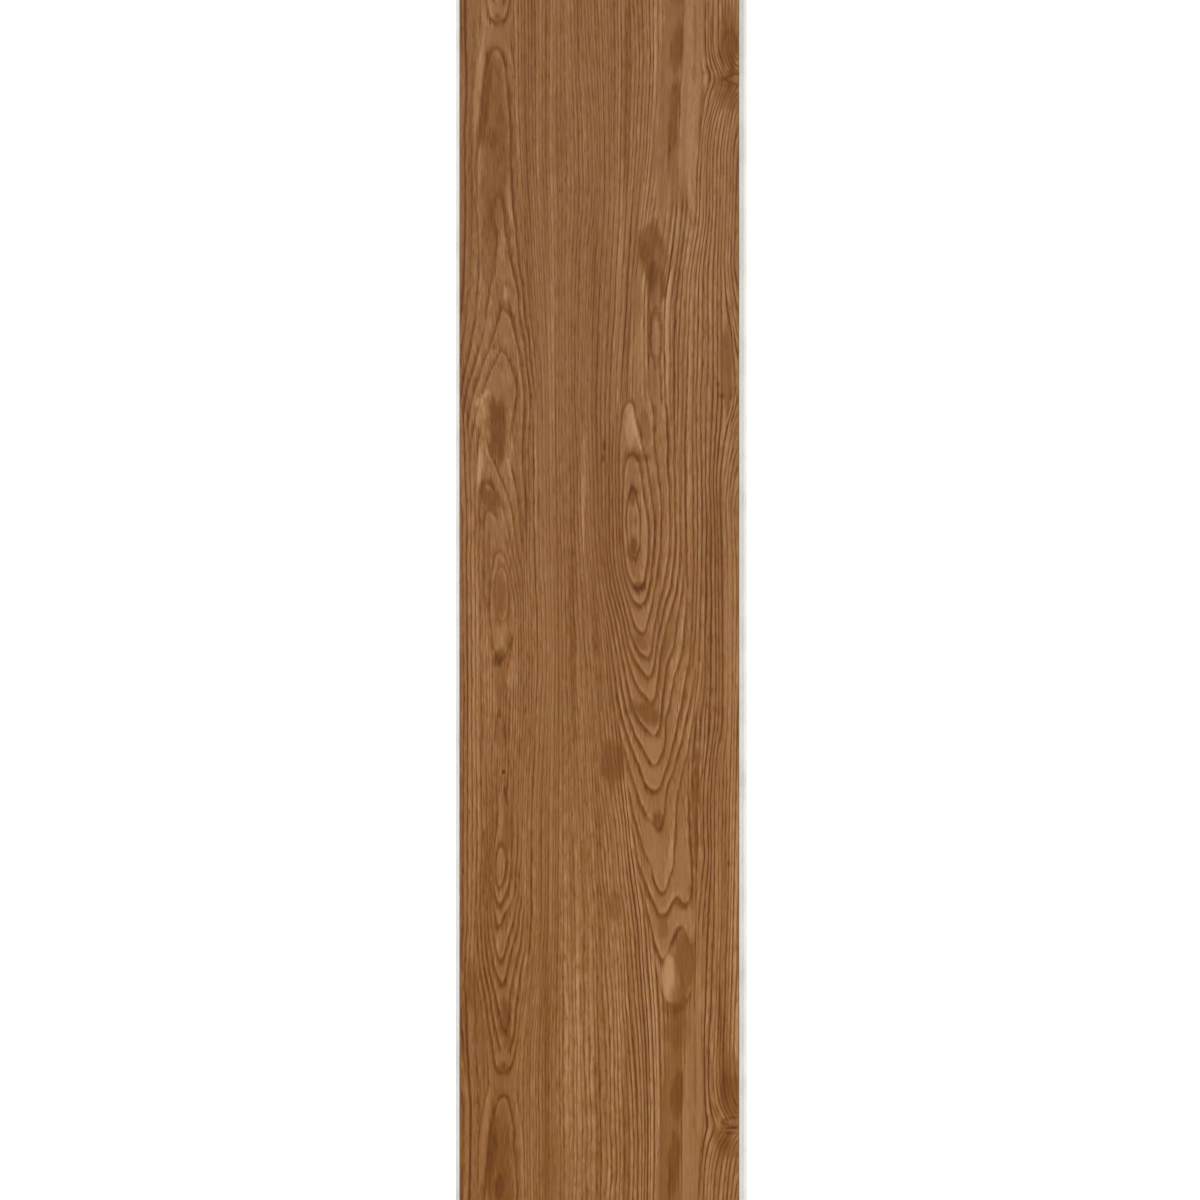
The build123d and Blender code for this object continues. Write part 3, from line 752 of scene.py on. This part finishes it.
def ring_line_group():
    """The figures' rings: how dark the print is beside each count. A ring is sharp on its inner side, and
    fades outward, with a pale line inside it."""
    inputs = {"Count": 0, "Steep": 0.25, "Ragged": 0.1, "Fibre": 0.5}
    group, given, out = new_group("figure rings", inputs, ["Dark"])
    phase, own = frayed(group, given, 0)
    width = plus(0.75, times(own["Value"], 0.5))
    outside = maths("DIVIDE", phase, given["Steep"])
    outside = times(outside, maths("DIVIDE", 0.5, width))
    inside = maths("DIVIDE", maths("SUBTRACT", 1, phase), given["Steep"])
    inside = maths("DIVIDE", inside, 2.5)
    core = ramp_of(outside, [(0, 0.62), (0.22, 0.75), (0.55, 0.42), (1, 0)])
    edge = ramp_of(inside, [(0, 0.62), (0.12, 0.3), (0.26, 0), (1, 0)])
    pale = ramp_of(inside, [(0, 0), (0.14, 0), (0.3, 1), (0.5, 0.7), (1, 0)])
    fade = ramp_of(phase, [(0, 0.8), (0.3, 0.55), (0.7, 0.22), (0.97, 0), (1, 0.8)])
    line = maths("MAXIMUM", core, edge)
    dark = plus(line, -0.33, times(fade, 0.36), times(pale, -0.24))
    group.links.new(dark, out["Dark"])
    return group


def long_line_group():
    """One family of long lines: how dark the print is beside each count, from -1 to 1."""
    inputs = {"Count": 0, "Ragged": 0.1, "Fibre": 0.5}
    group, given, out = new_group("long lines", inputs, ["Dark"])
    phase, own = frayed(group, given, 0.5)
    parts = add(group, "SeparateColor", {"Color": own["Color"]}).outputs
    moved = plus(phase, swing(parts["Red"], 0.24))
    line = ramp_of(moved, [
        (0.08, 0), (0.27, 0.14), (0.4, 0.7), (0.5, 1), (0.6, 0.7), (0.73, 0.14), (0.92, 0),
    ])
    depth = plus(0.6, times(own["Value"], 0.6))
    dark = times(plus(line, -0.34), depth)
    group.links.new(plus(dark, swing(parts["Green"], 0.3)), out["Dark"])
    return group


def knot_group():
    """A small knot on its own place: its dark rim, and its heart."""
    inputs = {"Place": None, "Across": 0, "Along": 0, "Half width": 1, "Half length": 1}
    group, given, out = new_group("small knot", inputs, ["Rim", "Heart"])
    parts = add(group, "SeparateXYZ", {"Vector": given["Place"]}).outputs
    ragged = add(group, "TexNoise", {"Vector": given["Place"], "Scale": 260, "Detail": 1}).outputs["Fac"]
    sides = []
    for axis, middle, half in (("X", "Across", "Half width"), ("Y", "Along", "Half length")):
        gap = maths("SUBTRACT", times(parts[axis], 1000), given[middle])
        sides.append(maths("POWER", maths("DIVIDE", gap, given[half]), 2))
    reach = plus(maths("SQRT", plus(*sides)), times(ragged, 0.5))
    reach = times(reach, 0.5)
    group.links.new(ramp_of(reach, [(0.42, 0), (0.56, 0.8), (0.66, 1), (0.8, 0)]), out["Rim"])
    group.links.new(ramp_of(reach, [(0.4, 1), (0.6, 0)]), out["Heart"])
    return group


def mottle_group():
    """Soft patches and fine specks, each about nought, on a place in metres."""
    inputs = {"Place": None, "Patch": 60, "Speck": 1800}
    group, given, out = new_group("mottle", inputs, ["Patches", "Specks"])
    for title, scale, detail in (("Patches", given["Patch"], 2), ("Specks", given["Speck"], 1)):
        noise = add(group, "TexNoise", {"Vector": given["Place"], "Scale": scale, "Detail": detail})
        group.links.new(maths("SUBTRACT", noise.outputs["Fac"], 0.5), out[title])
    return group


def new_finish(name):
    """A new material: its nodes, its shader, and the place on the piece that its patterns read."""
    finish = bpy.data.materials.new(name)
    finish.use_nodes = True
    tree = finish.node_tree
    place = add(tree, "TexCoord").outputs["Object"]
    return finish, tree, tree.nodes["Principled BSDF"], place


def drawn_lines(tree, given, fibre):
    """The rings of the figures and the long lines beside them, as dark as their ink makes them."""
    level = maths("FLOOR", given["line_doubling"])
    on_to_next = ramp_of(maths("FRACT", given["line_doubling"]), [(0.35, 0), (0.65, 1)])
    families = []
    for step in (0, 1):
        count = times(given["long_line"], maths("POWER", 2, plus(level, step)))
        inputs = {"Count": count, "Ragged": 0.25, "Fibre": fibre}
        families.append(place_group(tree, long_lines_drawn, inputs)["Dark"])
    inputs = {"Count": given["figure_ring"], "Steep": given["ring_steep"], "Ragged": 0.3, "Fibre": fibre}
    rings = place_group(tree, rings_drawn, inputs)["Dark"]
    lines = mix_of(given["figure_share"], mix_of(on_to_next, *families), rings)
    return times(lines, given["line_ink"])


def turned_hue(tree, colour, place):
    """The print's colour with its small turns to red and to olive. It is fuller towards one end."""
    parts = add(tree, "SeparateXYZ", {"Vector": place}).outputs
    spot = add(tree, "CombineXYZ", {"X": times(parts["X"], 200), "Y": times(parts["Y"], 90)})
    noise = add(tree, "TexNoise", {"Vector": spot.outputs[0], "Scale": 1, "Detail": 1})
    dice = add(tree, "SeparateColor", {"Color": noise.outputs["Color"]}).outputs
    slow = times(maths("SINE", times(parts["Y"], -5.2)), 0.025)
    return add(tree, "HueSaturation", {
        "Hue": plus(0.5, swing(dice["Red"], 0.018)),
        "Saturation": plus(1, swing(dice["Green"], 0.085), slow),
        "Color": colour,
    }).outputs["Color"]


def printed_oak():
    """The printed face under its clear wear layer."""
    finish, tree, shader, place = new_finish("printed_oak_face")
    fields = (
        "long_line", "line_doubling", "figure_ring", "ring_steep", "figure_share", "line_ink", "tone", "calm",
    )
    given = {name: add(tree, "Attribute", attribute_name=name).outputs["Fac"] for name in fields}
    along = add(tree, "SeparateXYZ", {"Vector": place}).outputs["Y"]
    fibre = stretched(given["long_line"], along, 3.4, 88, 3)
    coarse = stretched(given["long_line"], along, 0.9, 9, 7)
    fleck = stretched(given["long_line"], along, 3.1, 150, 11)
    lines = drawn_lines(tree, given, fibre)
    dark_flecks = ramp_of(fleck, [(0, 1), (0.3, 1), (0.4, 0), (1, 0)])
    strands = plus(swing(fibre, 0.74), swing(coarse, 0.35))
    strands = plus(strands, times(dark_flecks, -0.16), swing(fleck, 0.22))
    loud = maths("SUBTRACT", 1, times(given["calm"], 0.6))
    shade = plus(ground, times(lines, -0.5), times(strands, loud))
    shade = plus(shade, times(given["tone"], 0.4))
    for across, at, half_width, half_length, rim, heart in knots:
        knot = place_group(tree, knot_drawn, {
            "Place": place, "Across": across, "Along": at,
            "Half width": half_width, "Half length": half_length,
        })
        shade = plus(shade, times(knot["Rim"], rim), times(knot["Heart"], heart))
    colour = inked(shade, inks, sheen)
    found = place_group(tree, mottle, {"Place": place, "Patch": 14, "Speck": 2600})
    height = plus(times(lines, -0.5), times(fibre, 0.9))
    feed(shader, {
        "Base Color": turned_hue(tree, colour, place),
        "Roughness": plus(0.5, times(found["Patches"], 0.12)),
        "Specular IOR Level": 0.25,
        "Normal": bump_of(height, 0.35, 0.04),
    })
    return finish


def bevel_paint():
    """The brown paint on the bevels round the face."""
    finish, tree, shader, place = new_finish("bevel_paint")
    found = place_group(tree, mottle, {"Place": place, "Patch": 90, "Speck": 2200})
    shade = plus(0.5, found["Patches"], times(found["Specks"], 0.8))
    tones = [(92, 68, 46), (122, 94, 68), (146, 118, 92)]
    feed(shader, {
        "Base Color": inked(shade, tones),
        "Roughness": 0.6,
        "Normal": bump_of(found["Specks"], 0.3, 0.05),
    })
    return finish


def stone_core():
    """The milled stone-plastic core: pale, with specks of its filler, and faint lines along its edges that
    the cutter left."""
    finish, tree, shader, place = new_finish("stone_core")
    found = place_group(tree, mottle, {"Place": place, "Patch": 40, "Speck": 3400})
    shade = plus(0.5, times(found["Patches"], 0.6), times(found["Specks"], 1.1))
    tones = [(196, 191, 182), (240, 237, 230), (250, 249, 246)]
    height = add(tree, "SeparateXYZ", {"Vector": place}).outputs["Z"]
    cutter = maths("SINE", times(height, 2 * math.pi / cutter_pitch))
    feed(shader, {
        "Base Color": inked(shade, tones),
        "Roughness": 0.72,
        "Normal": bump_of(plus(times(cutter, 0.25), found["Specks"]), 0.4, 0.06),
    })
    return finish


def backing():
    """The plain matt underside, sanded along its length."""
    finish, tree, shader, place = new_finish("backing")
    found = place_group(tree, mottle, {"Place": place, "Patch": 30, "Speck": 2400})
    parts = add(tree, "SeparateXYZ", {"Vector": place}).outputs
    scratch = stretched(parts["X"], parts["Y"], 1600, 40, 5)
    shade = plus(0.5, times(found["Patches"], 0.6), swing(scratch, 0.9))
    tones = [(150, 145, 137), (192, 187, 178), (216, 212, 204)]
    feed(shader, {
        "Base Color": inked(shade, tones),
        "Roughness": 0.8,
        "Normal": bump_of(scratch, 0.4, 0.05),
    })
    return finish


def white_floor():
    """The pale floor. It looks white to the camera, and keeps the board's shadow."""
    clear_selection()
    bpy.ops.mesh.primitive_plane_add(size=14, location=(0, 0, -0.05 * mm))
    floor = bpy.context.object
    floor.name = "studio_floor"
    finish, tree, shader, _ = new_finish("studio_floor")
    seen = add(tree, "LightPath").outputs["Is Camera Ray"]
    feed(shader, {
        "Base Color": (0.6, 0.6, 0.6, 1),
        "Roughness": 1,
        "Specular IOR Level": 0,
        "Emission Color": (1, 1, 1, 1),
        "Emission Strength": times(seen, 0.72),
    })
    floor.data.materials.append(finish)


def studio_light():
    """A plain even light: a pale room that looks white to the camera, and a wide soft panel on each side."""
    world = bpy.data.worlds.new("studio")
    bpy.context.scene.world = world
    world.use_nodes = True
    tree = world.node_tree
    seen = add(tree, "LightPath").outputs["Is Camera Ray"]
    strength = plus(0.5, times(seen, 0.5))
    feed(tree.nodes["Background"], {"Color": (1, 1, 1, 1), "Strength": strength})
    for side, watts in ((-1, 36), (1, 33)):
        spot = Vector((side * 1.9, side * -0.5, 2.4))
        bpy.ops.object.light_add(type="AREA", location=spot)
        panel = bpy.context.object
        panel.data.size = 2.0
        panel.data.energy = watts
        panel.rotation_euler = spot.to_track_quat("Z", "Y").to_euler()


def camera_above():
    """The camera looks straight down on the middle of the board, which is longer than its frame."""
    seen_along = 0.7714
    lens = bpy.data.cameras.new("camera")
    lens.lens = 100
    lens.sensor_width = 36
    camera = bpy.data.objects.new("camera", lens)
    bpy.context.scene.collection.objects.link(camera)
    camera.location = (0.4 * mm, 0, top + seen_along * lens.lens / lens.sensor_width)
    bpy.context.scene.camera = camera


camera_above()
mottle = mottle_group()
long_lines_drawn = long_line_group()
rings_drawn = ring_line_group()
knot_drawn = knot_group()
core_board()
white_floor()
studio_light()
bpy.context.scene.view_settings.view_transform = "Standard"
